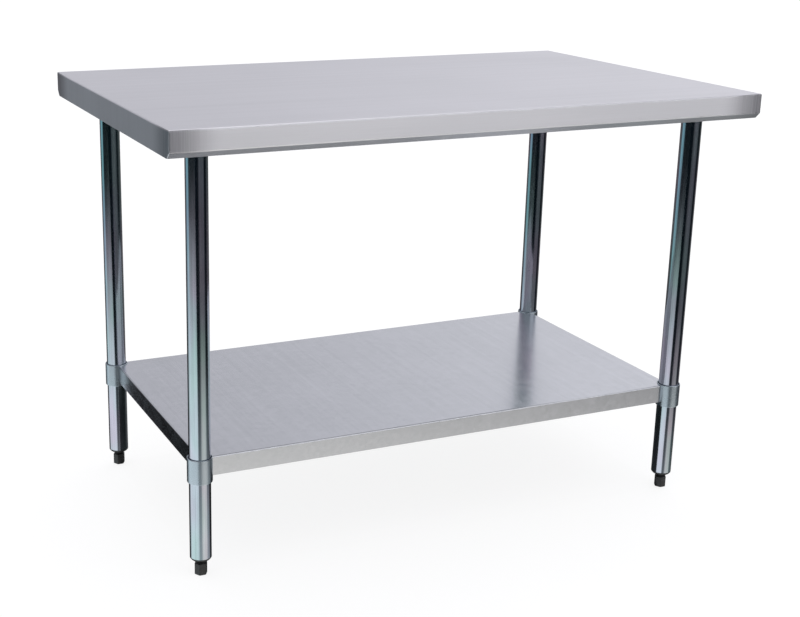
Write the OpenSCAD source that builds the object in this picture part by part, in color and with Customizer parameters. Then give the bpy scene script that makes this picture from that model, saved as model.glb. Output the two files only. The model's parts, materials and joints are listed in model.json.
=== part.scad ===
// Stainless work table: a folded worktop on four tube legs, with an undershelf that slides on
// the legs and four levelling feet.
// Millimetres. The origin is on the floor under the middle of the worktop, +X runs along its
// length to the right, +Y to the back and +Z up.

/* [Worktop] */
// Length of the worktop
top_length = 1219.2; // [900:0.1:2000]
// Depth of the worktop, front to back
top_depth = 762; // [550:0.1:950]
// Height of the work surface above the floor
top_height = 864; // [750:1:1050]
// Thickness of the worktop's sheet
top_sheet = 1.2; // [0.8:0.1:2]
// Straight height of the turned-down front and back edges
edge_drop = 38; // [30:0.5:60]
// Width and height of the hem that turns in at 45 degrees under the front and back edges
hem_size = 11; // [5:0.5:14]
// Outside radius of the bend along the top edges
edge_radius = 3; // [2.5:0.1:6]

/* [Channels under the worktop] */
// Width of a hat channel across its web
channel_web = 76; // [60:1:110]
// Width of each flange of a hat channel
channel_flange = 20; // [18:0.5:30]
// Height of a hat channel from flange face to web face
channel_depth = 25; // [15:0.5:29]
// Thickness of the channel sheet
channel_sheet = 1.5; // [1:0.1:2.5]
// Gap between a channel's end and what it points at
channel_end_gap = 14; // [3:1:40]
// Thickness of the sound-deadening tape between flange and worktop
tape_thickness = 1; // [0.5:0.1:2]

/* [Channel fixings] */
// Thread diameter of a weld stud
stud_d = 6.35; // [5:0.05:8]
// Length of a weld stud
stud_length = 14; // [12:0.5:20]
// Outside diameter of a washer
washer_d = 15; // [12:0.5:18]
// Thickness of a washer
washer_thickness = 1.6; // [1:0.1:2]
// Width across the flats of a nut
nut_across_flats = 11.1; // [9:0.1:14]
// Height of a nut
nut_height = 5.6; // [4:0.1:7]
// Studs along each flange of a crosswise channel
cross_studs = 3; // [2:1:5]
// Studs along each flange of the lengthwise channel
long_studs = 4; // [2:1:6]
// Distance from a channel's end to its first stud
stud_end_distance = 45; // [20:1:80]

/* [Legs] */
// Outside diameter of a leg tube
leg_d = 41.3; // [32:0.1:50]
// Wall of a leg tube
leg_wall = 1.5; // [1:0.1:3]
// Distance from a leg's axis to the end of the worktop
leg_inset_end = 82.5; // [70:0.5:200]
// Distance from a leg's axis to the front or back of the worktop
leg_inset_side = 103; // [70:0.5:200]

/* [Leg sockets] */
// Wall of a leg socket's cup
socket_wall = 2.3; // [1.5:0.1:4]
// Depth of a leg in its socket
socket_depth = 30; // [25:1:60]
// Side of the square plate that a socket stands on
socket_plate = 70; // [60:1:100]
// Thickness of that plate
socket_plate_thickness = 2.5; // [2:0.1:5]
// Gap round a leg in its socket
socket_clearance = 0.3; // [0.1:0.05:0.6]

/* [Set screws] */
// Thread diameter of a set screw
set_screw_d = 8; // [6:0.5:10]
// Length of a set screw
set_screw_length = 14; // [10:0.5:20]
// Width across the flats of a set screw's key socket
set_screw_key = 4; // [3:0.5:5]
// Wall of the round boss that a set screw is threaded into
boss_wall = 3.5; // [2:0.5:5]
// Height of that boss above the cup or collar that carries it
boss_height = 6; // [4:0.5:10]

/* [Undershelf] */
// Height of the undershelf's surface above the floor
shelf_height = 235; // [150:1:400]
// Thickness of the undershelf's sheet
shelf_sheet = 1.2; // [0.8:0.1:2]
// Height of the undershelf's turned-down lip
shelf_lip = 37.5; // [30:0.5:60]
// Outside radius of the bend along the shelf's edges
shelf_edge_radius = 2.5; // [2.2:0.1:6]
// Distance that the shelf's end lips stand outside the leg axes
shelf_past_leg_x = 0.5; // [0:0.5:6]
// Distance that the shelf's front and back lips stand outside the leg axes
shelf_past_leg_y = 4.5; // [0:0.5:6]
// Width of the stiffening channel's web
stiffener_web = 50; // [40:1:80]
// Width of the stiffening channel's flanges
stiffener_flange = 15; // [10:0.5:30]
// Height of the stiffening channel
stiffener_depth = 20; // [12:0.5:28]
// Thickness of the stiffening channel's sheet
stiffener_sheet = 1.2; // [0.8:0.1:2]

/* [Shelf clamps] */
// Height of a clamp's collar
clamp_height = 48; // [40:0.5:70]
// Height of the collar's rim above the shelf
clamp_rise = 2; // [0:0.5:10]
// Wall of the collar
clamp_wall = 2.7; // [2:0.1:5]
// Gap between the collar and the leg that it slides on
clamp_clearance = 0.6; // [0.3:0.05:1]
// Length of each wing that lies behind a shelf lip
wing_length = 45; // [25:1:80]
// Thickness of a wing
wing_thickness = 3; // [2:0.5:5]

/* [Levelling feet] */
// Width across the flats of a foot's hexagonal grip
foot_across_flats = 22; // [18:0.5:30]
// Height of the grip
foot_height = 24; // [14:0.5:30]
// Length of screw that shows between the grip and the leg's insert
foot_gap = 4; // [4:0.5:25]
// Chamfer round the grip's corners
foot_chamfer = 1.6; // [0.5:0.1:2.5]
// Outside diameter of the levelling screw
screw_d = 20; // [16:0.5:24]
// Length of the levelling screw above the grip
screw_length = 48; // [40:1:60]
// Diameter of the journal that the grip turns on
journal_d = 11; // [8:0.5:14]
// Length of that journal
journal_length = 9; // [6:0.5:12]

/* [Leg inserts] */
// Height of the insert's taper below the leg
insert_taper = 8.5; // [5:0.5:15]
// Length of the insert inside the leg
insert_length = 32; // [20:1:60]
// Wall of the insert round the screw at its lower end
insert_tip_wall = 2.4; // [1.5:0.1:4]
// Wall of the insert round the screw inside the leg
insert_body_wall = 6.5; // [3:0.1:8]
// Number of grip rings round the insert
insert_rings = 4; // [2:1:8]

/* [Hidden] */
$fn = 64;

// Small distances shared by the fits
running_gap = 0.08;     // round a screw or journal that turns in its hole
turning_gap = 0.1;      // between the faces of two pieces that turn on each other
moving_gap = 0.4;       // between a fastener's tip and the leg that slides past it
hole_gap = 0.35;        // round a stud in its hole
seat_gap = 0.15;        // between the shelf's corner cut and the clamp's collar
overshoot = 2;          // how far a cut runs past what it cuts

// Places worked out from the sizes above
leg_r = leg_d / 2;
leg_x = top_length / 2 - leg_inset_end;
leg_y = top_depth / 2 - leg_inset_side;
CORNERS = [[-1, -1], [1, -1], [-1, 1], [1, 1]];

top_underside = top_height - top_sheet;
flange_face = top_underside - tape_thickness;
web_face = flange_face - channel_depth;
cross_length = top_depth - 2 * (top_sheet + channel_end_gap);
long_length = 2 * (leg_x - channel_web / 2 - channel_flange - channel_end_gap);
stud_offset = channel_web / 2 + channel_flange / 2;
washer_face = flange_face - channel_sheet;
nut_face = washer_face - washer_thickness;

leg_top = web_face - socket_plate_thickness;
socket_rim = leg_top - socket_depth;
socket_bore_r = leg_r + socket_clearance;
socket_r = socket_bore_r + socket_wall;
socket_screw_z = socket_rim + socket_depth / 2;
boss_r = set_screw_d / 2 + boss_wall;

shelf_length = 2 * (leg_x + shelf_past_leg_x);
shelf_depth = 2 * (leg_y + shelf_past_leg_y);
shelf_underside = shelf_height - shelf_sheet;
clamp_bore_r = leg_r + clamp_clearance;
clamp_r = clamp_bore_r + clamp_wall;
clamp_top = shelf_height + clamp_rise;
clamp_bottom = clamp_top - clamp_height;
clamp_rim_chamfer = 0.8;
wing_bottom = shelf_height - shelf_lip + wing_thickness;
wing_start = clamp_r - clamp_wall / 2;
clamp_screw_z = (clamp_bottom + shelf_underside) / 2 - boss_wall;

screw_r = screw_d / 2;
insert_bottom = foot_height + foot_gap;
leg_bottom = insert_bottom + insert_taper;
insert_bore_r = screw_r + running_gap;
insert_grip_r = leg_r - leg_wall - 0.05;
screw_chamfer = 1.5;

// Positions of the studs, along a channel and then on the table
function stud_steps(length, count) =
    [for (i = [0 : count - 1]) (length - 2 * stud_end_distance) * (i / (count - 1) - 0.5)];
function cross_points(side) =
    [for (e = [-1, 1], s = stud_steps(cross_length, cross_studs)) [side * leg_x + e * stud_offset, s]];
LONG_POINTS = [for (e = [-1, 1], s = stud_steps(long_length, long_studs)) [s, e * stud_offset]];
ALL_POINTS = concat(cross_points(-1), cross_points(1), LONG_POINTS);

// ---- Shapes that repeat ----

// Right half of a folded sheet's outline below its top corner: the drop, then the hem if it has one
function fold_side(half, drop, hem) =
    hem > 0 ? [[half, -drop], [half - hem, -drop - hem]] : [[half, -drop]];

// What a bend of this radius takes off the square corner at the origin, right of it and above
module bend_cut(radius) {
    difference() {
        translate([-radius, -radius])
            square(radius + overshoot);
        translate([-radius, -radius])
            circle(radius);
    }
}

// Outline across a folded sheet, with its two top corners rounded
module fold_outline(width, drop, hem, radius) {
    half = width / 2;
    side = fold_side(half, drop, hem);
    mirrored = [for (i = [len(side) - 1 : -1 : 0]) [-side[i][0], side[i][1]]];
    difference() {
        polygon(concat([[-half, 0], [half, 0]], side, mirrored));
        translate([half, 0])
            bend_cut(radius);
        translate([-half, 0])
            mirror([1, 0])
                bend_cut(radius);
    }
}

// Solid block that a folded sheet wraps: any hem is along the front and back, and the ends drop
// straight to the hem's lower edge
module fold_block(length, depth, drop, hem, radius) {
    intersection() {
        rotate([90, 0, 0])
            linear_extrude(depth + 2 * overshoot, center = true)
                fold_outline(length, drop + hem, 0, radius);
        rotate([90, 0, 90])
            linear_extrude(length + 2 * overshoot, center = true)
                fold_outline(depth, drop, hem, radius);
    }
}

// Sheet folded down along four edges, top face at z = 0
module folded_sheet(length, depth, sheet, drop, hem, radius) {
    bend = hem > 0 ? sheet * tan(22.5) : 0;
    inner_drop = hem > 0 ? drop - sheet - bend : drop;
    inner_hem = hem > 0 ? hem + bend + overshoot : 0;
    difference() {
        fold_block(length, depth, drop, hem, radius);
        translate([0, 0, -sheet])
            fold_block(length - 2 * sheet, depth - 2 * sheet, inner_drop, inner_hem, radius - sheet);
    }
}

// Hat channel along Y with its flange faces at z = 0
module hat_channel(length, web, flange, depth, sheet) {
    half = web / 2;
    rotate([90, 0, 0])
        linear_extrude(length, center = true)
            polygon([
                [-half - flange, 0], [-half - flange, -sheet], [-half, -sheet], [-half, -depth],
                [half, -depth], [half, -sheet], [half + flange, -sheet], [half + flange, 0],
                [half - sheet, 0], [half - sheet, sheet - depth],
                [sheet - half, sheet - depth], [sheet - half, 0]
            ]);
}

// Two strips of tape along Y that lie on a channel's flanges
module tape_strips(length) {
    for (e = [-1, 1])
        translate([e * stud_offset, 0, tape_thickness / 2])
            cube([channel_flange, length, tape_thickness], center = true);
}

// Round holes through everything at a list of points
module holes(points, radius) {
    for (p = points)
        translate([p[0], p[1], flange_face - channel_depth])
            cylinder(h = 2 * channel_depth, r = radius);
}

// Turns a corner's own frame, where +X and +Y point to the middle of the table, into the table's
module at_corner(corner) {
    translate([corner[0] * leg_x, corner[1] * leg_y, 0])
        mirror([corner[0] > 0 ? 1 : 0, 0, 0])
            mirror([0, corner[1] > 0 ? 1 : 0, 0])
                children();
}

// Set screw along +X whose flat tip is at x = 0
module set_screw() {
    key_depth = set_screw_length / 3;
    tip = set_screw_d / 8;
    difference() {
        rotate([0, 90, 0])
            rotate_extrude()
                polygon([
                    [0, 0], [set_screw_d / 2 - tip, 0], [set_screw_d / 2, tip],
                    [set_screw_d / 2, set_screw_length], [0, set_screw_length]
                ]);
        translate([set_screw_length - key_depth, 0, 0])
            rotate([0, 90, 0])
                cylinder(h = key_depth + overshoot, d = set_screw_key / cos(30), $fn = 6);
    }
}

// Boss along +X for a set screw, from inside the wall of a cup to boss_height above it
module screw_boss(inner_r, outer_r) {
    start = (inner_r + outer_r) / 2;
    translate([start, 0, 0])
        rotate([0, 90, 0])
            cylinder(h = outer_r + boss_height - start, r = boss_r);
}

// Threaded hole along +X through a boss and the wall behind it
module screw_hole() {
    rotate([0, 90, 0])
        cylinder(h = leg_d + boss_height, r = set_screw_d / 2 + running_gap);
}

// ---- Worktop and the channels under it ----

module tabletop() {
    color([0.81, 0.81, 0.83])
        translate([0, 0, top_height])
            folded_sheet(top_length, top_depth, top_sheet, edge_drop, hem_size, edge_radius);
}

module cross_channel(side) {
    color([0.66, 0.68, 0.68])
        difference() {
            translate([side * leg_x, 0, flange_face])
                hat_channel(cross_length, channel_web, channel_flange, channel_depth, channel_sheet);
            holes(cross_points(side), stud_d / 2 + hole_gap);
        }
}

module top_channel_centre() {
    color([0.66, 0.68, 0.68])
        difference() {
            translate([0, 0, flange_face])
                rotate([0, 0, 90])
                    hat_channel(long_length, channel_web, channel_flange, channel_depth, channel_sheet);
            holes(LONG_POINTS, stud_d / 2 + hole_gap);
        }
}

module cross_tape(side) {
    color([0.17, 0.17, 0.17])
        difference() {
            translate([side * leg_x, 0, flange_face])
                tape_strips(cross_length);
            holes(cross_points(side), stud_d / 2 + 2 * hole_gap);
        }
}

module tape_centre() {
    color([0.17, 0.17, 0.17])
        difference() {
            translate([0, 0, flange_face])
                rotate([0, 0, 90])
                    tape_strips(long_length);
            holes(LONG_POINTS, stud_d / 2 + 2 * hole_gap);
        }
}

module channel_studs() {
    color([0.78, 0.76, 0.70])
        for (p = ALL_POINTS)
            translate([p[0], p[1], top_underside - stud_length])
                cylinder(h = stud_length, d = stud_d);
}

module channel_washers() {
    color([0.74, 0.74, 0.72])
        for (p = ALL_POINTS)
            translate([p[0], p[1], washer_face - washer_thickness])
                difference() {
                    cylinder(h = washer_thickness, d = washer_d);
                    translate([0, 0, -overshoot])
                        cylinder(h = washer_thickness + 2 * overshoot, r = stud_d / 2 + hole_gap);
                }
}

module channel_nuts() {
    color([0.74, 0.74, 0.72])
        for (p = ALL_POINTS)
            translate([p[0], p[1], nut_face - nut_height])
                difference() {
                    cylinder(h = nut_height, d = nut_across_flats / cos(30), $fn = 6);
                    translate([0, 0, -overshoot])
                        cylinder(h = nut_height + 2 * overshoot, r = stud_d / 2 + running_gap);
                }
}

// ---- Legs ----

module leg_socket(corner) {
    color([0.60, 0.62, 0.62])
        at_corner(corner)
            difference() {
                union() {
                    translate([0, 0, leg_top + socket_plate_thickness / 2])
                        cube([socket_plate, socket_plate, socket_plate_thickness], center = true);
                    translate([0, 0, socket_rim])
                        cylinder(h = socket_depth + socket_plate_thickness, r = socket_r);
                    translate([0, 0, socket_screw_z])
                        screw_boss(socket_bore_r, socket_r);
                }
                translate([0, 0, socket_rim - overshoot])
                    cylinder(h = socket_depth + overshoot, r = socket_bore_r);
                translate([0, 0, socket_screw_z])
                    screw_hole();
            }
}

module socket_set_screws() {
    color([0.30, 0.30, 0.31])
        for (corner = CORNERS)
            at_corner(corner)
                translate([leg_r + running_gap, 0, socket_screw_z])
                    set_screw();
}

module leg(corner) {
    color([0.50, 0.54, 0.56])
        at_corner(corner)
            translate([0, 0, leg_bottom])
                difference() {
                    cylinder(h = leg_top - leg_bottom, r = leg_r);
                    translate([0, 0, -overshoot])
                        cylinder(h = leg_top - leg_bottom + 2 * overshoot, r = leg_r - leg_wall);
                }
}

// Plastic plug in the end of a leg: a taper below the tube and a ringed body inside it
module leg_insert(corner) {
    body_r = min(insert_bore_r + insert_body_wall, insert_grip_r - 1);
    ring_pitch = insert_length / (insert_rings + 1);
    color([0.06, 0.06, 0.06])
        at_corner(corner)
            rotate_extrude() {
                polygon([
                    [insert_bore_r, insert_bottom], [insert_bore_r + insert_tip_wall, insert_bottom],
                    [leg_r, leg_bottom - 1], [leg_r, leg_bottom], [body_r, leg_bottom],
                    [body_r, leg_bottom + insert_length], [insert_bore_r, leg_bottom + insert_length]
                ]);
                for (i = [1 : insert_rings])
                    translate([0, leg_bottom + i * ring_pitch])
                        polygon([
                            [body_r - 1, -ring_pitch / 3], [insert_grip_r, -ring_pitch / 6],
                            [body_r - 1, ring_pitch / 3]
                        ]);
            }
}

// ---- Undershelf ----

module shelf() {
    color([0.72, 0.72, 0.73])
        difference() {
            translate([0, 0, shelf_height])
                folded_sheet(shelf_length, shelf_depth, shelf_sheet, shelf_lip, 0, shelf_edge_radius);
            for (corner = CORNERS)
                at_corner(corner)
                    translate([0, 0, shelf_height - shelf_lip - overshoot])
                        cylinder(h = shelf_lip + 2 * overshoot, r = clamp_r + seat_gap);
        }
}

module shelf_stiffener() {
    color([0.62, 0.64, 0.65])
        translate([0, 0, shelf_underside])
            rotate([0, 0, 90])
                hat_channel(
                    shelf_length - 2 * (shelf_sheet + channel_end_gap),
                    stiffener_web, stiffener_flange, stiffener_depth, stiffener_sheet
                );
}

// Wing along +Y behind a lip whose inside is at x = 0, its top edge cut clear of the shelf's bend
module clamp_wing() {
    cut = shelf_edge_radius - shelf_sheet;
    translate([0, clamp_r + wing_length, 0])
        rotate([90, 0, 0])
            linear_extrude(clamp_r + wing_length - wing_start)
                difference() {
                    translate([0, wing_bottom])
                        square([wing_thickness, shelf_underside - wing_bottom]);
                    translate([0, shelf_underside])
                        rotate(45)
                            square(cut * sqrt(2), center = true);
                }
}

// Collar that slides on a leg, with two wings behind the shelf's lips and a boss for its set screw
module shelf_clamp(corner) {
    end_lip_inside = shelf_sheet - shelf_past_leg_x;
    side_lip_inside = shelf_sheet - shelf_past_leg_y;
    color([0.56, 0.58, 0.58])
        at_corner(corner)
            difference() {
                union() {
                    rotate_extrude()
                        polygon([
                            [0, clamp_bottom], [clamp_r - clamp_rim_chamfer, clamp_bottom],
                            [clamp_r, clamp_bottom + clamp_rim_chamfer],
                            [clamp_r, clamp_top - clamp_rim_chamfer],
                            [clamp_r - clamp_rim_chamfer, clamp_top], [0, clamp_top]
                        ]);
                    translate([end_lip_inside, 0, 0])
                        clamp_wing();
                    translate([0, side_lip_inside, 0])
                        mirror([1, -1, 0])
                            clamp_wing();
                    translate([0, 0, clamp_screw_z])
                        rotate([0, 0, 45])
                            screw_boss(clamp_bore_r, clamp_r);
                }
                translate([0, 0, clamp_bottom - overshoot])
                    cylinder(h = clamp_height + 2 * overshoot, r = clamp_bore_r);
                translate([0, 0, clamp_screw_z])
                    rotate([0, 0, 45])
                        screw_hole();
            }
}

module clamp_set_screws() {
    color([0.30, 0.30, 0.31])
        for (corner = CORNERS)
            at_corner(corner)
                rotate([0, 0, 45])
                    translate([leg_r + moving_gap, 0, clamp_screw_z])
                        set_screw();
}

// ---- Levelling feet ----

// Screw that rises and falls in the insert, with the journal that the grip turns on
module foot_screw(corner) {
    color([0.09, 0.09, 0.09])
        at_corner(corner)
            rotate_extrude()
                polygon([
                    [0, foot_height - journal_length], [journal_d / 2, foot_height - journal_length],
                    [journal_d / 2, foot_height + turning_gap], [screw_r, foot_height + turning_gap],
                    [screw_r, foot_height + screw_length - screw_chamfer],
                    [screw_r - screw_chamfer, foot_height + screw_length],
                    [0, foot_height + screw_length]
                ]);
}

// Hexagonal grip that the table stands on, its corners chamfered top and bottom
module foot(corner) {
    corner_r = foot_across_flats / 2 / cos(30);
    color([0.05, 0.05, 0.05])
        at_corner(corner)
            difference() {
                intersection() {
                    cylinder(h = foot_height, r = corner_r, $fn = 6);
                    rotate_extrude()
                        polygon([
                            [0, 0], [corner_r - foot_chamfer, 0], [corner_r, foot_chamfer],
                            [corner_r, foot_height - foot_chamfer],
                            [corner_r - foot_chamfer, foot_height], [0, foot_height]
                        ]);
                }
                translate([0, 0, foot_height - journal_length - turning_gap])
                    cylinder(h = journal_length + overshoot, r = journal_d / 2 + running_gap);
            }
}

tabletop();
cross_channel(-1);  // top_channel_left
cross_channel(1);  // top_channel_right
top_channel_centre();
cross_tape(-1);  // tape_left
cross_tape(1);  // tape_right
tape_centre();
channel_studs();
channel_washers();
channel_nuts();
leg_socket(CORNERS[0]);  // leg_socket_fl
leg_socket(CORNERS[1]);  // leg_socket_fr
leg_socket(CORNERS[2]);  // leg_socket_bl
leg_socket(CORNERS[3]);  // leg_socket_br
socket_set_screws();
leg(CORNERS[0]);  // leg_fl
leg(CORNERS[1]);  // leg_fr
leg(CORNERS[2]);  // leg_bl
leg(CORNERS[3]);  // leg_br
leg_insert(CORNERS[0]);  // leg_insert_fl
leg_insert(CORNERS[1]);  // leg_insert_fr
leg_insert(CORNERS[2]);  // leg_insert_bl
leg_insert(CORNERS[3]);  // leg_insert_br
shelf();
shelf_stiffener();
shelf_clamp(CORNERS[0]);  // shelf_clamp_fl
shelf_clamp(CORNERS[1]);  // shelf_clamp_fr
shelf_clamp(CORNERS[2]);  // shelf_clamp_bl
shelf_clamp(CORNERS[3]);  // shelf_clamp_br
clamp_set_screws();
foot_screw(CORNERS[0]);  // foot_screw_fl
foot_screw(CORNERS[1]);  // foot_screw_fr
foot_screw(CORNERS[2]);  // foot_screw_bl
foot_screw(CORNERS[3]);  // foot_screw_br
foot(CORNERS[0]);  // foot_fl
foot(CORNERS[1]);  // foot_fr
foot(CORNERS[2]);  // foot_bl
foot(CORNERS[3]);  // foot_br
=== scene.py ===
"""Stainless kitchen work table: folded worktop, tube legs, sliding undershelf and levelling feet.

Lengths are in metres, +X runs along the table to the right, +Y to the back and +Z up.
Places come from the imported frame; MM turns the millimetres named below into metres.
"""
import json
import math

import bmesh
import bpy
from mathutils import Matrix, Vector

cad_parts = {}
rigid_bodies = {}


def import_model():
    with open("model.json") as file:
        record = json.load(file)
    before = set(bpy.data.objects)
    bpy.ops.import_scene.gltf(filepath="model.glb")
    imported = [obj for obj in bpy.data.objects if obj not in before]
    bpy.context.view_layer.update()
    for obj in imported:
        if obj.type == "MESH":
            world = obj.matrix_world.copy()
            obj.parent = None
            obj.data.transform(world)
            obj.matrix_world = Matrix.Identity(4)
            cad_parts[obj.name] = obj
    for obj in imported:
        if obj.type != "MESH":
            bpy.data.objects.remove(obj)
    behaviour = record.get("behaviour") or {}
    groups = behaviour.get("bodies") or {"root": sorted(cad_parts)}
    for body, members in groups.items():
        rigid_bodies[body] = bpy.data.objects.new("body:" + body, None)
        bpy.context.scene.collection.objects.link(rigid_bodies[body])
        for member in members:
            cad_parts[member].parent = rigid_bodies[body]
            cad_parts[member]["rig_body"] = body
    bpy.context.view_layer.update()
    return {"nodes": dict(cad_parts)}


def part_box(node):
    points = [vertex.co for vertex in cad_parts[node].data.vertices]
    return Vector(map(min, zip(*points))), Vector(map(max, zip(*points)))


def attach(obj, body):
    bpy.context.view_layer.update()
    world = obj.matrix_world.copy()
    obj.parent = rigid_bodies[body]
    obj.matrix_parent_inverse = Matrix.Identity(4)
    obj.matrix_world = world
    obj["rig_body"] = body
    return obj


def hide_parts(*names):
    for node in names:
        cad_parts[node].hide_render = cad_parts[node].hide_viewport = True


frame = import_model()

MM = 0.001
CORNERS = ("fl", "fr", "bl", "br")
ROUND = 96  # steps round a leg or collar
SMALL_ROUND = 28  # steps round a fastener
SHARP = math.radians(32)
MERGE = 0.002 * MM  # vertices closer than this are one
TOUCH = 0.0001 * MM  # how near a vertex counts as on a cutting plane


# ---------------------------------------------------------------- shader maths


class Link:
    """A node's output socket that takes part in Python arithmetic."""

    def __init__(self, graph, socket):
        self.graph = graph
        self.socket = socket

    def math(self, operation, *values):
        return self.graph.math(operation, *values)

    def __add__(self, other):
        return self.math("ADD", self, other)

    def __sub__(self, other):
        return self.math("SUBTRACT", self, other)

    def __rsub__(self, other):
        return self.math("SUBTRACT", other, self)

    def __mul__(self, other):
        return self.math("MULTIPLY", self, other)

    def __abs__(self):
        return self.math("ABSOLUTE", self)

    __radd__ = __add__
    __rmul__ = __mul__


class Graph:
    """The node tree of a material or world, emptied and ready to build."""

    def __init__(self, tree):
        self.tree = tree
        tree.nodes.clear()

    def node(self, kind, settings=None, sockets=None, output=0):
        """Adds a node, sets its settings, then its sockets by name or number, and gives an output."""
        made = self.tree.nodes.new(kind)
        for name, value in (settings or {}).items():
            if name == "stops":
                self.set_stops(made.color_ramp, value)
            else:
                setattr(made, name, value)
        for key, value in (sockets or {}).items():
            if isinstance(value, Link):
                self.tree.links.new(value.socket, made.inputs[key])
            else:
                made.inputs[key].default_value = value
        return Link(self, made.outputs[output]) if len(made.outputs) else made

    def set_stops(self, ramp, stops):
        while len(ramp.elements) < len(stops):
            ramp.elements.new(1.0)
        for element, (position, colour) in zip(ramp.elements, stops):
            element.position = position
            element.color = colour

    def math(self, operation, *values):
        return self.node("ShaderNodeMath", {"operation": operation}, dict(enumerate(values)))

    def parts(self, vector):
        """The x, y and z of a vector."""
        split = self.tree.nodes.new("ShaderNodeSeparateXYZ")
        self.tree.links.new(vector.socket, split.inputs[0])
        return [Link(self, split.outputs[i]) for i in range(3)]

    def vector(self, x, y, z):
        return self.node("ShaderNodeCombineXYZ", sockets={0: x, 1: y, 2: z})

    def place(self):
        """The object coordinates."""
        return self.node("ShaderNodeTexCoord", output="Object")

    def noise(self, vector, scale, detail=3.0, roughness=0.55):
        sockets = {"Vector": vector, "Scale": scale, "Detail": detail, "Roughness": roughness}
        return self.node("ShaderNodeTexNoise", sockets=sockets)

    def eased(self, value, low, high, to_low=0.0, to_high=1.0):
        """Eases a value from one range into another and holds it at the ends."""
        sockets = {0: value, 1: low, 2: high, 3: to_low, 4: to_high}
        return self.node("ShaderNodeMapRange", {"interpolation_type": "SMOOTHSTEP"}, sockets)

    def mix(self, factor, a, b, blend="MIX"):
        """Mixes two colours."""
        settings = {"data_type": "RGBA", "blend_type": blend}
        return self.node("ShaderNodeMix", settings, {0: factor, 6: a, 7: b}, output=2)

    def bump(self, height, strength, distance, under=None):
        """Turns a height into a normal, on top of another normal if one is given."""
        sockets = {"Height": height, "Strength": strength, "Distance": distance}
        if under:
            sockets["Normal"] = under
        return self.node("ShaderNodeBump", sockets=sockets)


def shade(red, green, blue):
    """A colour given as it looks on screen, from 0 to 255, as the linear colour that shaders use."""
    shares = [channel / 255 for channel in (red, green, blue)]
    linear = [s / 12.92 if s <= 0.04045 else ((s + 0.055) / 1.055) ** 2.4 for s in shares]
    return (*linear, 1.0)


def finish(name, build, **fixed):
    """A material whose surface sockets come from a function that builds them on the node tree."""
    made = bpy.data.materials.new(name)
    made.use_nodes = True
    graph = Graph(made.node_tree)
    sockets = {key.replace("_", " "): value for key, value in fixed.items()}
    sockets.update(build(graph))
    surface = graph.node("ShaderNodeBsdfPrincipled", sockets=sockets)
    graph.node("ShaderNodeOutputMaterial", sockets={"Surface": surface})
    return made


# ------------------------------------------------------------------- materials


def satin_stainless(graph):
    """Lengthwise polishing grain on every side, with corners finished by hand grinding that fall away a
    little; towards each corner the colour is darkened as painted shade, broken by grinding strokes.
    """
    x, y, z = graph.parts(graph.place())
    facing_x, facing_y, _ = graph.parts(graph.node("ShaderNodeTexCoord", output="Normal"))
    end = graph.eased(abs(facing_x), 0.6, 0.8)
    side = graph.eased(abs(facing_y), 0.6, 0.8)
    along = x + end * z
    across = y + (1 - end) * z
    grain = graph.noise(graph.vector(along * 7.0, across * 900.0, 0.0), 1.0, 4.0, 0.62)
    bands = graph.noise(graph.vector(along * 1.1, across * 55.0, 3.0), 1.0, 2.0, 0.5)
    clouds = graph.noise(graph.vector(along, across, 7.0), 3.0, 2.0, 0.5)
    scratch_lines = graph.noise(graph.vector(along * 16.0, across * 460.0, 11.0), 1.0, 1.0, 0.4)
    scratches = graph.eased(scratch_lines, 0.70, 0.76)
    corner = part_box("tabletop")[1]
    reach = 0.10  # how far the grinding falloff and the painted corner shade run along each side of a corner
    near_end = graph.math("MAXIMUM", abs(x) - (corner.x - reach), 0.0) * (1 / reach)
    near_side = graph.math("MAXIMUM", abs(y) - (corner.y - reach), 0.0) * (1 / reach)
    # How close a point is to a vertical corner, from 0 to 1; it drives the falloff bump and the painted
    # corner shade.
    corner_closeness = side * near_end + end * near_side
    strokes = graph.noise(graph.vector((x + y) * 260.0, (x - y) * 260.0, z * 5.0), 1.0, 3.0, 0.6)
    painted_corner_shade = graph.eased(corner_closeness, 0.0, 0.95)
    tone = 0.35 * grain + 0.30 * bands + 0.35 * clouds
    plain = graph.mix(tone, shade(204, 204, 208), shade(233, 232, 237))
    fallen = graph.bump(-0.0034 * (corner_closeness * corner_closeness * corner_closeness), 1.0, 1.0)
    return {
        # The base colour goes dark towards the corners: painted shade, broken up by grinding strokes.
        "Base Color": graph.mix(painted_corner_shade * (0.4 + 0.6 * strokes), plain, shade(116, 115, 121)),
        "Roughness": 0.35 + 0.06 * grain + 0.06 * clouds + 0.05 * scratches,
        "Normal": graph.bump(grain + 0.7 * scratches, 0.10, 0.00003, fallen),
    }


def galvanised_sheet(graph):
    """Pale zinc coating with soft-edged crystals and rolling lines."""
    place = graph.place()
    x, y, z = graph.parts(place)
    wobble = graph.noise(place, 50.0, 2.0, 0.5)
    bent = graph.node(
        "ShaderNodeVectorMath", {"operation": "MULTIPLY_ADD"},
        {0: graph.vector(wobble, wobble, wobble), 1: (0.02, 0.02, 0.02), 2: place},
    )
    cells = graph.node(
        "ShaderNodeTexVoronoi", {"feature": "SMOOTH_F1"},
        {"Vector": bent, "Scale": 75.0, "Smoothness": 0.3}, "Color",
    )
    crystals = graph.parts(cells)[0]
    rolled = graph.noise(graph.vector(x * 130.0, y * 2.0, z * 130.0), 1.0, 3.0, 0.55)
    clouds = graph.noise(place, 5.0, 3.0, 0.5)
    tone = 0.16 * crystals + 0.44 * rolled + 0.40 * clouds
    return {
        "Base Color": graph.mix(tone, shade(186, 189, 193), shade(218, 219, 225)),
        "Roughness": 0.15 + 0.04 * crystals + 0.07 * clouds,
        "Normal": graph.bump(0.5 * crystals + rolled, 0.06, 0.00003),
    }


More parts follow.
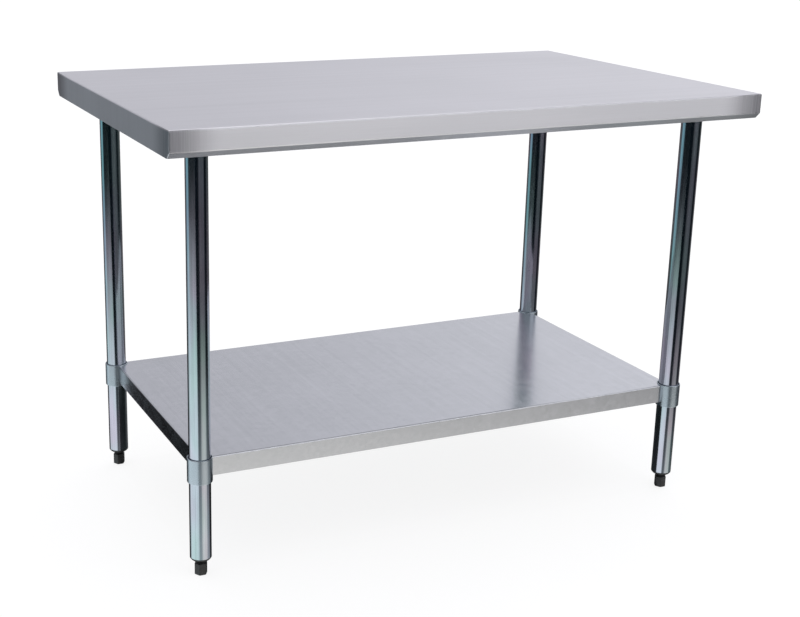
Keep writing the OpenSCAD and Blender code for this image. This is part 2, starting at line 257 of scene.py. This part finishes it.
def galvanised_tube(graph):
    """Bright zinc on drawn tube, with lengthwise lines and faint green and lilac tints."""
    x, y, z = graph.parts(graph.place())
    drawn = graph.noise(graph.vector(x * 320.0, y * 320.0, z * 3.0), 1.0, 3.0, 0.55)
    patches = graph.noise(graph.vector(x * 30.0, y * 30.0, z * 9.0), 1.0, 3.0, 0.6)
    tints = graph.noise(graph.vector(x * 18.0, y * 18.0, z * 5.0 + 40.0), 1.0, 2.0, 0.5)
    stops = [(0.36, shade(176, 198, 197)), (0.50, shade(186, 195, 203)), (0.64, shade(194, 188, 202))]
    tinted = graph.node("ShaderNodeValToRGB", {"stops": stops}, {"Fac": tints})
    worn = graph.eased(0.5 * drawn + 0.5 * patches, 0.36, 0.64, 0.80, 1.0)
    return {
        "Base Color": graph.mix(1.0, tinted, graph.vector(worn, worn, worn), "MULTIPLY"),
        "Roughness": 0.06 + 0.06 * patches + 0.05 * drawn,
        "Normal": graph.bump(drawn, 0.10, 0.00003),
    }


def cast_aluminium(graph):
    """Tumbled die casting, slightly grainy and unevenly grey."""
    place = graph.place()
    grains = graph.noise(place, 900.0, 3.0, 0.6)
    clouds = graph.noise(place, 45.0, 3.0, 0.6)
    tone = 0.4 * grains + 0.6 * clouds
    return {
        "Base Color": graph.mix(tone, shade(158, 170, 178), shade(200, 208, 215)),
        "Roughness": 0.20 + 0.12 * clouds + 0.05 * grains,
        "Normal": graph.bump(tone, 0.15, 0.00006),
    }


def zinc_plating(graph):
    """Small plated fasteners with a trace of yellow."""
    place = graph.place()
    tints = graph.noise(place, 160.0, 2.0, 0.5)
    marks = graph.noise(place, 1400.0, 2.0, 0.5)
    return {
        "Base Color": graph.mix(tints, shade(206, 206, 204), shade(222, 216, 198)),
        "Roughness": 0.22 + 0.14 * marks,
        "Normal": graph.bump(marks, 0.15, 0.00004),
    }


def black_oxide(graph):
    """Blackened set screws, worn a little grey."""
    worn = graph.noise(graph.place(), 420.0, 3.0, 0.6)
    return {
        "Base Color": graph.mix(worn, shade(34, 34, 36), shade(84, 84, 88)),
        "Roughness": 0.34 + 0.18 * worn,
        "Normal": graph.bump(worn, 0.12, 0.00004),
    }


def black_nylon(graph):
    """Moulded black plastic with an eggshell texture and faint grey scuffs."""
    place = graph.place()
    pores = graph.noise(place, 1600.0, 2.0, 0.5)
    scuffs = graph.eased(graph.noise(place, 140.0, 4.0, 0.65), 0.52, 0.72)
    return {
        "Base Color": graph.mix(scuffs, shade(22, 22, 23), shade(48, 48, 50)),
        "Roughness": 0.34 + 0.12 * pores + 0.12 * scuffs,
        "Normal": graph.bump(pores, 0.22, 0.00006),
    }


def deadening_tape(graph):
    """Dull butyl tape, lightly creased."""
    creases = graph.noise(graph.place(), 220.0, 4.0, 0.6)
    return {
        "Base Color": graph.mix(creases, shade(24, 24, 25), shade(52, 52, 54)),
        "Roughness": 0.62 + 0.2 * creases,
        "Normal": graph.bump(creases, 0.4, 0.0003),
    }


STAINLESS = finish("satin_stainless", satin_stainless, Metallic=1.0)
SHEET = finish("galvanised_sheet", galvanised_sheet, Metallic=1.0)
TUBE = finish("galvanised_tube", galvanised_tube, Metallic=1.0)
CASTING = finish("cast_aluminium", cast_aluminium, Metallic=1.0)
ZINC = finish("zinc_plating", zinc_plating, Metallic=1.0)
OXIDE = finish("black_oxide", black_oxide, Metallic=0.8)
NYLON = finish("black_nylon", black_nylon)
TAPE = finish("deadening_tape", deadening_tape)


# ---------------------------------------------------------------- mesh helpers


def middle(node):
    """The centre of a CAD node's box."""
    low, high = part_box(node)
    return (low + high) / 2


def inward(corner):
    """The signs that point from a corner's leg to the middle of the table."""
    return (1 if corner[1] == "l" else -1), (1 if corner[0] == "f" else -1)


def piece(name, bm, material, node):
    """Turns a bmesh into the shown piece that stands for a CAD node."""
    bmesh.ops.remove_doubles(bm, verts=bm.verts[:], dist=MERGE)
    bmesh.ops.recalc_face_normals(bm, faces=bm.faces[:])
    mesh = bpy.data.meshes.new(name)
    bm.to_mesh(mesh)
    bm.free()
    mesh.shade_smooth()
    mesh.set_sharp_from_angle(angle=SHARP)
    mesh.materials.append(material)
    made = bpy.data.objects.new(name, mesh)
    bpy.context.scene.collection.objects.link(made)
    evened = made.modifiers.new("evened", "WEIGHTED_NORMAL")
    evened.keep_sharp = True
    evened.weight = 100
    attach(made, frame["nodes"][node]["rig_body"])
    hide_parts(node)
    return made


def bevel(bm, edges, width, segments=3):
    bmesh.ops.bevel(
        bm, geom=edges, offset=width, offset_type="OFFSET", segments=segments,
        profile=0.5, affect="EDGES", clamp_overlap=True, material=-1,
    )


def folds(edges, degrees=30):
    """Those edges where two faces meet at more than an angle."""
    limit = math.radians(degrees)
    return [e for e in edges if len(e.link_faces) == 2 and e.calc_face_angle(0.0) > limit]


def edges_of(verts):
    return list({e for v in verts for e in v.link_edges})


def upright_edges(verts):
    return [e for e in edges_of(verts) if e.verts[0].co.xy == e.verts[1].co.xy]


def box_between(bm, low, high):
    """Adds a box and gives its vertices."""
    low, high = Vector(low), Vector(high)
    size = Vector([abs(b - a) for a, b in zip(low, high)])
    verts = bmesh.ops.create_cube(bm, size=1.0)["verts"]
    bmesh.ops.scale(bm, vec=size, verts=verts)
    bmesh.ops.translate(bm, vec=(low + high) / 2, verts=verts)
    return verts


def thicken(bm, sheet):
    """Turns the broadest face of a folded sheet up, then gives the sheet its wall on the other side."""
    bmesh.ops.remove_doubles(bm, verts=bm.verts[:], dist=MERGE)
    bmesh.ops.recalc_face_normals(bm, faces=bm.faces[:])
    if max(bm.faces, key=lambda f: f.calc_area()).normal.z < 0:
        bmesh.ops.reverse_faces(bm, faces=bm.faces[:])
    bmesh.ops.solidify(bm, geom=bm.faces[:], thickness=sheet)


def chain(bm, points):
    """Adds a line of vertices and edges through some points."""
    verts = [bm.verts.new(p) for p in points]
    return verts, [bm.edges.new(pair) for pair in zip(verts, verts[1:])]


def lathe(bm, centre, profile, steps=ROUND):
    """Turns a closed outline of (radius, height) points round an upright axis."""
    verts, edges = chain(bm, [(centre[0] + r, centre[1], h) for r, h in profile])
    edges.append(bm.edges.new((verts[-1], verts[0])))
    bmesh.ops.spin(
        bm, geom=verts + edges, cent=(centre[0], centre[1], 0), axis=(0, 0, 1),
        angle=math.tau, steps=steps, use_merge=True,
    )


def turned(bm, verts, centre, angle, axis="Z"):
    bmesh.ops.rotate(bm, cent=centre, matrix=Matrix.Rotation(angle, 3, axis), verts=verts)


def arc(centre, radius, start, end, steps):
    """Points along part of a circle in the plane of an outline, angles in degrees."""
    angles = [math.radians(start + (end - start) * i / steps) for i in range(steps + 1)]
    return [(centre[0] + radius * math.cos(a), centre[1] + radius * math.sin(a)) for a in angles]


def copy_to(bm, places):
    """Repeats what a bmesh holds round the upright axis at each of some places."""
    master = bm.verts[:] + bm.edges[:] + bm.faces[:]
    for place in places[1:]:
        copied = bmesh.ops.duplicate(bm, geom=master)["geom"]
        verts = [g for g in copied if isinstance(g, bmesh.types.BMVert)]
        bmesh.ops.translate(bm, vec=(place[0], place[1], 0), verts=verts)
    first = [g for g in master if isinstance(g, bmesh.types.BMVert)]
    bmesh.ops.translate(bm, vec=(places[0][0], places[0][1], 0), verts=first)


def added_since(bm, before):
    """The vertices that a bmesh has gained."""
    return [v for v in bm.verts if v not in before]


def cut_flat(bm, verts, place, way):
    """Cuts away what some vertices carry past a plane, and closes the cut."""
    edges = edges_of(verts)
    faces = list({f for v in verts for f in v.link_faces})
    cut = bmesh.ops.bisect_plane(
        bm, geom=verts + edges + faces, dist=TOUCH, plane_co=place, plane_no=way, clear_outer=True,
    )["geom_cut"]
    bmesh.ops.holes_fill(bm, edges=[g for g in cut if isinstance(g, bmesh.types.BMEdge)], sides=0)


def threaded_rod(bm, centre, low, high, radius, pitch, steps):
    """A right-hand screw thread with flat ends."""
    root = radius - 0.6 * pitch
    outline = [(root, 0.0), (radius, 0.40), (radius, 0.55), (root, 0.95), (root, 1.0)]
    turns = math.ceil((high - low) / pitch) + 2
    points = [(centre[0] + r, centre[1], low + (share - 1.5) * pitch) for r, share in outline]
    verts, edges = chain(bm, points)
    before = set(bm.verts) - set(verts)
    bmesh.ops.spin(
        bm, geom=verts + edges, cent=(centre[0], centre[1], 0), axis=(0, 0, 1),
        dvec=(0, 0, pitch / steps), angle=math.tau * turns, steps=steps * turns, use_merge=False,
    )
    bmesh.ops.remove_doubles(bm, verts=added_since(bm, before), dist=pitch * 0.004)
    for height, up in ((low, -1), (high, 1)):
        cut_flat(bm, added_since(bm, before), (0, 0, height), (0, 0, up))


# -------------------------------------------------------------------- worktop


def make_worktop():
    """One sheet folded down on four sides, with a hem turned in below the front and back."""
    bend, drop, hem, sheet = 3.0 * MM, 38.0 * MM, 11.0 * MM, 1.2 * MM
    low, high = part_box("tabletop")
    bm = bmesh.new()
    box_between(bm, low, high)
    under = [f for f in bm.faces if f.normal.z < -0.5]
    bmesh.ops.delete(bm, geom=under, context="FACES")
    bevel(bm, folds(bm.edges), bend, 6)
    fold_height = high.z - drop
    everything = bm.verts[:] + bm.edges[:] + bm.faces[:]
    bmesh.ops.bisect_plane(
        bm, geom=everything, dist=TOUCH, plane_co=(0, 0, fold_height), plane_no=(0, 0, 1),
    )
    for vert in [v for v in bm.verts if v.co.z < fold_height - hem / 2]:
        vert.co.y -= math.copysign(hem, vert.co.y)
    bm.normal_update()
    hems = [e for e in folds(bm.edges) if all(abs(v.co.z - fold_height) < MERGE for v in e.verts)]
    bevel(bm, hems, 1.6 * MM, 4)
    thicken(bm, sheet)
    piece("worktop_sheet", bm, STAINLESS, "tabletop")


def make_channel(name, node, lengthwise, sheet, web, depth, bend):
    """A hat channel with rounded bends, its flanges up."""
    low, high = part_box(node)
    centre = middle(node)
    half = web / 2 - sheet
    wide = (high.y - low.y) / 2 if lengthwise else (high.x - low.x) / 2
    floor = sheet - depth
    outline = [(-wide, 0), (-half, 0), (-half, floor), (half, floor), (half, 0), (wide, 0)]
    bm = bmesh.new()
    if lengthwise:
        points = [(low.x, centre.y + across, high.z + rise) for across, rise in outline]
        length = Vector((high.x - low.x, 0, 0))
    else:
        points = [(centre.x + across, low.y, high.z + rise) for across, rise in outline]
        length = Vector((0, high.y - low.y, 0))
    edges = chain(bm, points)[1]
    ends = bmesh.ops.extrude_edge_only(bm, edges=edges)["geom"]
    bmesh.ops.translate(bm, vec=length, verts=[g for g in ends if isinstance(g, bmesh.types.BMVert)])
    bevel(bm, folds(bm.edges), bend, 4)
    thicken(bm, sheet)
    piece(name, bm, SHEET, node)


def stud_places():
    """The axes of the weld studs: three along each flange of a crosswise channel, four on the long one."""
    places = []
    edge, inset = 10 * MM, 45 * MM
    for node in ("top_channel_left", "top_channel_right"):
        low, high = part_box(node)
        for x in (low.x + edge, high.x - edge):
            places += [(x, low.y + inset), (x, middle(node).y), (x, high.y - inset)]
    low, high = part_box("top_channel_centre")
    run = high.x - low.x - 2 * inset
    for y in (low.y + edge, high.y - edge):
        places += [(low.x + inset + run * i / 3, y) for i in range(4)]
    return places


def make_fixings():
    """Weld studs with their washers and nuts."""
    studs, washers, nuts = bmesh.new(), bmesh.new(), bmesh.new()
    places = stud_places()
    low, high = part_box("channel_studs")
    radius, pitch = 3.12 * MM, 1.27 * MM
    threaded_rod(studs, (0, 0), low.z + 0.1 * MM, high.z, radius, pitch, 16)
    low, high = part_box("channel_washers")
    hole, outer, edge = 3.5 * MM, 7.5 * MM, 0.25 * MM
    lathe(washers, (0, 0), [
        (hole, low.z), (outer - edge, low.z), (outer, low.z + edge),
        (outer, high.z - edge), (outer - edge, high.z), (hole, high.z),
    ], SMALL_ROUND)
    low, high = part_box("channel_nuts")
    make_nut(nuts, (0, 0), low.z, high.z)
    for name, bm, node in (
        ("weld_studs", studs, "channel_studs"),
        ("stud_washers", washers, "channel_washers"),
        ("stud_nuts", nuts, "channel_nuts"),
    ):
        copy_to(bm, places)
        piece(name, bm, ZINC, node)


def make_nut(bm, place, low, high):
    """A hexagon nut, turned with chamfers at both faces and then cut flat on six sides."""
    hole, to_flat = 3.4 * MM, 5.55 * MM
    corner = to_flat / math.cos(math.pi / 6)
    chamfer, drop = 0.9 * MM, 0.5 * MM
    before = set(bm.verts)
    lathe(bm, place, [
        (hole, low), (corner - chamfer, low), (corner, low + drop),
        (corner, high - drop), (corner - chamfer, high), (hole, high),
    ], 24)
    for side in range(6):
        angle = math.radians(30 + 60 * side)
        way = Vector((math.cos(angle), math.sin(angle), 0))
        cut_flat(bm, added_since(bm, before), Vector((*place, 0)) + way * to_flat, way)


# ----------------------------------------------------------------------- legs


def make_boss(bm, outer, fillet, sunk, edge):
    """Adds a set screw's boss along +Z, filleted at its foot on a collar, and gives its vertices."""
    before = set(bm.verts)
    hole, face, reach = 4.1 * MM, 7.5 * MM, outer + 6 * MM
    lathe(bm, (0, 0), [
        (hole, outer - 1 * MM), (face + fillet, outer - sunk),
        *arc((face + fillet, outer + fillet), fillet, 270, 180, 5),
        (face, reach - edge), (face - edge, reach), (hole + edge, reach), (hole, reach - edge),
    ], 48)
    return added_since(bm, before)


def make_leg(corner):
    """A drawn tube with its two ends lightly deburred."""
    low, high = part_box(f"leg_{corner}")
    outer = (high.x - low.x) / 2
    inner = outer - 1.5 * MM
    burr = 0.25 * MM
    bm = bmesh.new()
    lathe(bm, middle(f"leg_{corner}"), [
        (inner, low.z + burr), (inner + burr, low.z), (outer - burr, low.z), (outer, low.z + burr),
        (outer, high.z - burr), (outer - burr, high.z), (inner + burr, high.z), (inner, high.z - burr),
    ])
    piece(f"leg_tube_{corner}", bm, TUBE, f"leg_{corner}")


def make_socket(corner):
    """A plate with a cup below it for the leg, and a boss for the set screw."""
    node = f"leg_socket_{corner}"
    low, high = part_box(node)
    leg = middle(f"leg_{corner}")
    plate, side = 2.5 * MM, 35 * MM
    bore, outer, edge = 20.95 * MM, 23.25 * MM, 0.6 * MM
    fillet = 3 * MM
    floor = high.z - plate
    into_plate = floor + 0.4 * MM
    bm = bmesh.new()
    near = (leg.x - side, leg.y - side, floor)
    far = (leg.x + side, leg.y + side, high.z)
    bevel(bm, upright_edges(box_between(bm, near, far)), 4 * MM, 5)
    bevel(bm, folds(bm.edges, 60), 0.5 * MM, 2)
    lathe(bm, leg, [
        (bore, low.z + edge), (bore + edge, low.z), (outer - edge, low.z), (outer, low.z + edge),
        *arc((outer + fillet, floor - fillet), fillet, 180, 90, 6),
        (outer + fillet, into_plate), (bore, into_plate),
    ])
    boss = make_boss(bm, outer, 3.5 * MM, 1.0 * MM, 0.6 * MM)
    turned(bm, boss, (0, 0, 0), inward(corner)[0] * math.pi / 2, "Y")
    bmesh.ops.translate(bm, vec=(leg.x, leg.y, middle("socket_set_screws").z), verts=boss)
    piece(f"leg_cup_{corner}", bm, SHEET, node)


def make_insert(corner):
    """A plug with a rounded shoulder below the tube and grip rings inside it."""
    node = f"leg_insert_{corner}"
    low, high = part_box(node)
    leg = middle(f"leg_{corner}")
    outer = (high.x - low.x) / 2
    tube_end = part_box(f"leg_{corner}")[0].z
    bore, tip, body, grip = 10.08 * MM, 12.48 * MM, 16.6 * MM, 19.1 * MM
    rim, bulge, bevelled = 0.5 * MM, 1.1 * MM, 0.6 * MM
    base, shoulder = low.z + rim, tube_end - 1.6 * MM
    profile = [(bore, base), (bore + rim, low.z), (tip - 0.8 * MM, low.z), (tip, base)]
    for share in [step / 8 for step in range(1, 8)]:
        swell = bulge * math.sin(math.pi * share)
        radius = tip + (outer - tip) * share + 0.6 * swell
        profile.append((radius, base + (shoulder - base) * share - 0.5 * swell))
    profile += [
        (outer - 0.15 * MM, shoulder), (outer, tube_end - 1.0 * MM),
        (outer, tube_end - 0.05 * MM), (body, tube_end),
    ]
    pitch = (high.z - tube_end) / 5
    for ring in range(1, 5):
        height = tube_end + ring * pitch
        profile += [
            (body, height - pitch / 3), (grip, height - pitch / 6),
            (grip, height - pitch / 12), (body, height + pitch / 3),
        ]
    profile += [(body, high.z - bevelled), (body - bevelled, high.z), (bore, high.z)]
    bm = bmesh.new()
    lathe(bm, leg, profile)
    piece(f"leg_plug_{corner}", bm, NYLON, node)


# ----------------------------------------------------------------- undershelf


def make_shelf():
    """One sheet folded down along four edges, its corners cut out round the clamps."""
    sheet, bend = 1.2 * MM, 2.5 * MM
    radius = 24.1 * MM  # of the cut-out round a leg's clamp
    low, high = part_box("shelf")
    bm = bmesh.new()
    outline = []
    for corner in ("fl", "fr", "br", "bl"):
        leg = middle(f"leg_{corner}")
        side_x, side_y = inward(corner)
        past_x = abs(leg.x) - high.x
        past_y = abs(leg.y) - high.y
        start = Vector((side_x * past_x, side_y * math.sqrt(radius ** 2 - past_x ** 2)))
        end = Vector((side_x * math.sqrt(radius ** 2 - past_y ** 2), side_y * past_y))
        if corner in ("fr", "bl"):
            start, end = end, start
        vert = bm.verts.new((leg.x + start.x, leg.y + start.y, high.z))
        swept = bmesh.ops.spin(
            bm, geom=[vert], cent=(leg.x, leg.y, high.z), axis=(0, 0, 1),
            angle=end.angle_signed(start), steps=14, use_merge=False,
        )["geom_last"]
        outline.append((vert, next(g for g in swept if isinstance(g, bmesh.types.BMVert))))
    straight = [bm.edges.new((outline[i][1], outline[(i + 1) % 4][0])) for i in range(4)]
    bmesh.ops.contextual_create(bm, geom=bm.edges[:])
    lips = bmesh.ops.extrude_edge_only(bm, edges=straight)["geom"]
    bottom = [g for g in lips if isinstance(g, bmesh.types.BMVert)]
    bmesh.ops.translate(bm, vec=(0, 0, low.z - high.z), verts=bottom)
    bevel(bm, folds(bm.edges), bend, 5)
    thicken(bm, sheet)
    piece("shelf_sheet", bm, SHEET, "shelf")


def make_clamp(corner):
    """A collar that slides on the leg, with a wing behind each shelf lip and a set screw boss."""
    node = f"shelf_clamp_{corner}"
    low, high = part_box(node)
    leg = middle(f"leg_{corner}")
    side_x, side_y = inward(corner)
    bore, outer, edge = 21.25 * MM, 23.95 * MM, 0.8 * MM
    bottom, top = low.z, high.z
    sheet = 1.2 * MM
    bm = bmesh.new()
    lathe(bm, leg, [
        (bore, bottom + edge), (bore + 0.5 * MM, bottom + 0.1 * MM), (outer - edge * 1.2, bottom),
        (outer - 0.25 * MM, bottom + 0.4 * MM), (outer, bottom + 1.3 * MM),
        (outer, top - 1.1 * MM), (outer - 0.25 * MM, top - 0.35 * MM), (outer - edge, top),
        (bore + 1.5 * MM, top), (bore + 1.2 * MM, top - 0.3 * MM), (bore, top - 2.6 * MM),
    ])
    shelf_low, shelf_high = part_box("shelf")
    under = shelf_high.z - sheet
    wing_bottom = shelf_low.z + 3 * MM
    lip_x = abs(leg.x) - shelf_high.x + sheet
    lip_y = abs(leg.y) - shelf_high.y + sheet
    start, reach, thick = 22.9 * MM, 68.95 * MM, 3 * MM
    wings = (
        ((lip_x, start), (lip_x + thick, reach)),
        ((start, lip_y), (reach, lip_y + thick)),
    )
    for (x0, y0), (x1, y1) in wings:
        near = (leg.x + side_x * x0, leg.y + side_y * y0, wing_bottom)
        far = (leg.x + side_x * x1, leg.y + side_y * y1, under)
        wing = box_between(bm, near, far)
        bevel(bm, [e for e in edges_of(wing) if e.calc_length() > 30 * MM], 1.35 * MM, 2)
    boss = make_boss(bm, outer, 3.0 * MM, 1.5 * MM, 0.7 * MM)
    turned(bm, boss, (0, 0, 0), math.pi / 2, "Y")
    turned(bm, boss, (0, 0, 0), math.atan2(side_y, side_x))
    bmesh.ops.translate(bm, vec=(leg.x, leg.y, middle("clamp_set_screws").z), verts=boss)
    piece(f"shelf_collar_{corner}", bm, CASTING, node)


# ------------------------------------------------------------- levelling feet


def make_foot_screw(corner):
    """The foot's coarse moulded thread."""
    node = f"foot_screw_{corner}"
    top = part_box(node)[1].z
    into_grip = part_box(f"foot_{corner}")[1].z - 0.6 * MM
    radius, pitch = 9.95 * MM, 2.5 * MM
    bm = bmesh.new()
    threaded_rod(bm, middle(node), into_grip, top, radius, pitch, 32)
    piece(f"foot_thread_{corner}", bm, NYLON, node)


def make_foot(corner):
    """A hexagonal grip with rounded edges and a washer face at its top."""
    node = f"foot_{corner}"
    low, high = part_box(node)
    centre = middle(node)
    radius = (high.x - low.x) / 2
    height = high.z - low.z - 0.6 * MM
    bm = bmesh.new()
    grip = bmesh.ops.create_cone(
        bm, cap_ends=True, cap_tris=False, segments=6, radius1=radius, radius2=radius, depth=height,
    )["verts"]
    bevel(bm, upright_edges(grip), 0.9 * MM, 3)
    bevel(bm, folds(bm.edges, 60), 1.3 * MM, 4)
    turned(bm, bm.verts[:], (0, 0, 0), math.radians(30))
    bmesh.ops.translate(bm, vec=(centre.x, centre.y, low.z + height / 2), verts=bm.verts[:])
    hole, washer, edge = 8.0 * MM, 10.2 * MM, 0.3 * MM
    lathe(bm, centre, [
        (hole, high.z - 1.2 * MM), (washer, high.z - 1.2 * MM),
        (washer, high.z - edge), (washer - edge, high.z), (hole, high.z),
    ], 64)
    piece(f"foot_grip_{corner}", bm, NYLON, node)


make_worktop()
for place, lengthwise in (("left", False), ("right", False), ("centre", True)):
    node = f"top_channel_{place}"
    make_channel(f"channel_{place}", node, lengthwise, 1.5 * MM, 76 * MM, 25 * MM, 2.5 * MM)
make_channel("shelf_rib", "shelf_stiffener", True, 1.2 * MM, 50 * MM, 20 * MM, 2.0 * MM)
make_fixings()
make_shelf()
for corner in CORNERS:
    make_leg(corner)
    make_socket(corner)
    make_insert(corner)
    make_clamp(corner)
    make_foot_screw(corner)
    make_foot(corner)

for node, material in (
    ("tape_left", TAPE), ("tape_right", TAPE), ("tape_centre", TAPE),
    ("socket_set_screws", OXIDE), ("clamp_set_screws", OXIDE),
):
    mesh = frame["nodes"][node].data
    mesh.materials.clear()
    mesh.materials.append(material)


# ---------------------------------------------------------------------- stage


def make_floor():
    """A plain pale floor that glows softly, so only a faint shadow shows on it."""
    def pale(graph):
        x, y, z = graph.parts(graph.place())
        mottle = graph.noise(graph.vector(x, y, z), 0.6, 2.0, 0.5)
        return {"Base Color": graph.mix(mottle, shade(118, 118, 119), shade(122, 122, 123))}

    bm = bmesh.new()
    bmesh.ops.create_grid(bm, x_segments=1, y_segments=1, size=40)
    mesh = bpy.data.meshes.new("floor")
    bm.to_mesh(mesh)
    bm.free()
    glow = {"Emission_Color": (1.0, 1.0, 1.0, 1.0), "Emission_Strength": 0.86, "Roughness": 0.9}
    mesh.materials.append(finish("pale_floor", pale, **glow))
    floor = bpy.data.objects.new("floor", mesh)
    bpy.context.scene.collection.objects.link(floor)
    floor.visible_glossy = False


def make_shaded_patch():
    """A painted shadow: a dark card on the floor under the shelf that stands in for the floor's shade
    there, and shows only in the metal's reflections.
    """
    def dim(graph):
        x, y, z = graph.parts(graph.place())
        mottle = graph.noise(graph.vector(x, y, z), 4.0, 2.0, 0.5)
        # Painted shadow colour, dark and faintly mottled.
        return {"Base Color": graph.mix(mottle, shade(54, 59, 59), shade(65, 67, 69))}

    low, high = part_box("shelf")
    bm = bmesh.new()
    bmesh.ops.create_grid(bm, x_segments=1, y_segments=1, size=0.5)
    bmesh.ops.scale(bm, vec=(high.x - low.x, high.y - low.y, 1), verts=bm.verts[:])
    bmesh.ops.translate(bm, vec=(0, 0, 0.5 * MM), verts=bm.verts[:])
    mesh = bpy.data.meshes.new("shaded_patch")
    bm.to_mesh(mesh)
    bm.free()
    mesh.materials.append(finish("shaded_floor", dim, Roughness=0.9))
    patch = bpy.data.objects.new("shaded_patch", mesh)
    bpy.context.scene.collection.objects.link(patch)
    patch.visible_camera = False
    patch.visible_diffuse = False
    patch.visible_shadow = False


def make_surroundings():
    """Soft studio surroundings, as the metal reflects them.

    The upper part is bright, the lower part dark far off and pale close to the table, and a strip
    light stands low at the front right. z is the sine of the height above the horizon.
    """
    world = bpy.data.worlds.new("studio")
    world.use_nodes = True
    bpy.context.scene.world = world
    graph = Graph(world.node_tree)
    direction = graph.node("ShaderNodeTexCoord", output="Generated")
    x, y, z = graph.parts(direction)
    level = graph.node("ShaderNodeVectorMath", {"operation": "NORMALIZE"}, {0: graph.vector(x, y, 0.0)})
    level_x, level_y, _ = graph.parts(level)
    back = 0.38 * level_x + 0.92 * level_y
    right = 0.92 * level_x - 0.38 * level_y
    above = graph.eased(z, -0.04, 0.10)
    to_left = graph.eased(right, -0.04, -0.30)
    front_right = graph.eased(0.77 * right - 0.64 * back, 0.80, 0.96)
    close = graph.eased(z - 0.13 * to_left - 0.055 * front_right, -0.33, -0.50)
    left = graph.eased(-0.97 * right + 0.2 * back, 0.90, 0.98)
    behind = graph.eased(back, 0.1, 0.7)
    overhead = graph.eased(z, 0.70, 0.98)
    far = graph.mix(front_right, (0.004, 0.008, 0.012, 1), (0.12, 0.12, 0.135, 1))
    far = graph.mix(behind, far, (0.15, 0.142, 0.15, 1))
    far = graph.mix(left, far, (0.30, 0.52, 0.60, 1))
    near = graph.mix(front_right, (0.60, 0.65, 0.67, 1), (1.14, 1.12, 1.06, 1))
    near = graph.mix(to_left, near, (1.12, 1.20, 1.23, 1))
    near = graph.mix(behind, near, (0.004, 0.004, 0.005, 1))
    low = graph.mix(close, far, near)
    higher = graph.mix(graph.eased(z, 0.18, 0.30), (0.74, 0.74, 0.77, 1), (0.90, 0.90, 0.95, 1))
    rear = graph.mix(graph.eased(right, -0.15, 0.35), (0.62, 0.62, 0.66, 1), higher)
    high = graph.mix(behind, (0.45, 0.46, 0.49, 1), rear)
    high = graph.mix(front_right, high, (0.80, 0.80, 0.83, 1))
    high = graph.mix(overhead, high, (1.4, 1.4, 1.42, 1))
    colour = graph.mix(above, low, high)
    strip = graph.eased(z, -0.10, -0.02) * graph.eased(z, 0.15, 0.06) * front_right
    colour = graph.mix(strip, colour, (2.6, 2.6, 2.62, 1))
    seen = graph.node("ShaderNodeLightPath", output="Is Camera Ray")
    colour = graph.mix(seen, colour, (0.98, 0.98, 0.98, 1))
    light = graph.node("ShaderNodeBackground", sockets={"Color": colour, "Strength": 1.0})
    graph.node("ShaderNodeOutputWorld", sockets={"Surface": light})


def make_camera():
    """A camera at standing eye height, in front of the table's left end."""
    camera = bpy.data.objects.new("camera", bpy.data.cameras.new("camera"))
    bpy.context.scene.collection.objects.link(camera)
    yaw, pitch, roll = math.radians(23.35), math.radians(-16.08), math.radians(0.58)
    ahead = Vector((math.sin(yaw) * math.cos(pitch), math.cos(yaw) * math.cos(pitch), math.sin(pitch)))
    level = Vector((math.cos(yaw), -math.sin(yaw), 0))
    rise = level.cross(ahead)
    right = level * math.cos(roll) + rise * math.sin(roll)
    up = rise * math.cos(roll) - level * math.sin(roll)
    turn = Matrix((right, up, -ahead)).transposed().to_4x4()
    camera.matrix_world = Matrix.Translation((-1.2879, -2.5049, 1.2546)) @ turn
    camera.data.sensor_width = 36
    camera.data.lens = 62.06
    camera.data.shift_x = 0.123
    camera.data.shift_y = -0.0365
    camera.data.clip_end = 200
    bpy.context.scene.camera = camera


make_floor()
make_shaded_patch()
make_surroundings()
make_camera()
bpy.context.scene.view_settings.view_transform = "Standard"
